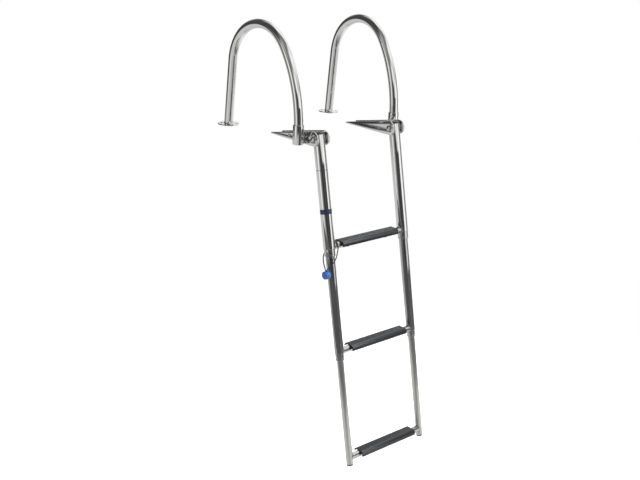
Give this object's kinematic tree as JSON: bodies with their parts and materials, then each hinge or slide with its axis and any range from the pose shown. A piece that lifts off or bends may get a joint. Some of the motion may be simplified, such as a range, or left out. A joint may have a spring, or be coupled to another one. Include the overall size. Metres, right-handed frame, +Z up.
{
  "type": "boat boarding ladder",
  "caption": "Folding telescoping boat boarding ladder: tube stiles with ribbed treads, wedge deck brackets with pivot bolts, and handrail hoops rising from them to round base flanges.",
  "frame": {"origin": "on the deck plane, straight below the pivot axis and midway between the two stiles", "axes": "+X across the ladder, +Y inboard over the deck, +Z up"},
  "size_m": [0.4366, 0.5749, 1.1786],
  "materials": {
    "polished_steel": "mirror-polished stainless steel",
    "fastener_steel": "plain stainless steel",
    "collar": "satin stainless steel",
    "bush": "moulded nylon",
    "cap": "moulded, satin",
    "tread": "moulded, ribbed, satin",
    "toggle": "moulded, semi-gloss",
    "cord": "braided polyester"
  },
  "bodies": {
    "root": {"hinge_bracket_left": "polished_steel", "hinge_bracket_right": "polished_steel", "bracket_side_screw_left": "fastener_steel", "bracket_side_screw_right": "fastener_steel", "pivot_bolt_left": "fastener_steel", "pivot_bolt_right": "fastener_steel", "pivot_nut_left": "fastener_steel", "pivot_nut_right": "fastener_steel", "pivot_washer_inner_left": "fastener_steel", "pivot_washer_inner_right": "fastener_steel", "pivot_washer_outer_left": "fastener_steel", "pivot_washer_outer_right": "fastener_steel", "hoop_sleeve_left": "polished_steel", "hoop_sleeve_right": "polished_steel", "sleeve_set_screw_left": "fastener_steel", "sleeve_set_screw_right": "fastener_steel", "handrail_hoop_left": "polished_steel", "handrail_hoop_right": "polished_steel", "base_flange_left": "polished_steel", "base_flange_right": "polished_steel"},
    "upper_ladder": {"upper_stile_left": "polished_steel", "upper_stile_right": "polished_steel", "stile_cap_left": "cap", "stile_cap_right": "cap", "upper_collar_left": "collar", "upper_collar_right": "collar", "rung_top": "polished_steel", "tread_top": "tread", "tread_screw_top_left": "fastener_steel", "tread_screw_top_right": "fastener_steel", "lanyard_cord": "cord", "toggle": "toggle"},
    "middle_ladder": {"middle_stile_left": "polished_steel", "middle_stile_right": "polished_steel", "middle_bush_left": "bush", "middle_bush_right": "bush", "middle_collar_left": "collar", "middle_collar_right": "collar", "rung_middle": "polished_steel", "tread_middle": "tread", "tread_screw_middle_left": "fastener_steel", "tread_screw_middle_right": "fastener_steel"},
    "lower_ladder": {"lower_stile_left": "polished_steel", "lower_stile_right": "polished_steel", "lower_bush_left": "bush", "lower_bush_right": "bush", "foot_cap_left": "cap", "foot_cap_right": "cap", "rung_bottom": "polished_steel", "tread_bottom": "tread", "tread_screw_bottom_left": "fastener_steel", "tread_screw_bottom_right": "fastener_steel"}
  },
  "joints": [
    {"name": "ladder_hinge", "type": "hinge", "parent": "root", "child": "upper_ladder", "pos_m": [0, 0, 0.02], "axis": [-1, 0, 0], "range_deg": [0, 258]},
    {"name": "middle_slide", "type": "slide", "parent": "upper_ladder", "child": "middle_ladder", "axis": [0, 0.2079, 0.9781], "range_m": [0, 0.245]},
    {"name": "lower_slide", "type": "slide", "parent": "middle_ladder", "child": "lower_ladder", "axis": [0, 0.2079, 0.9781], "range_m": [0, 0.262]}
  ]
}
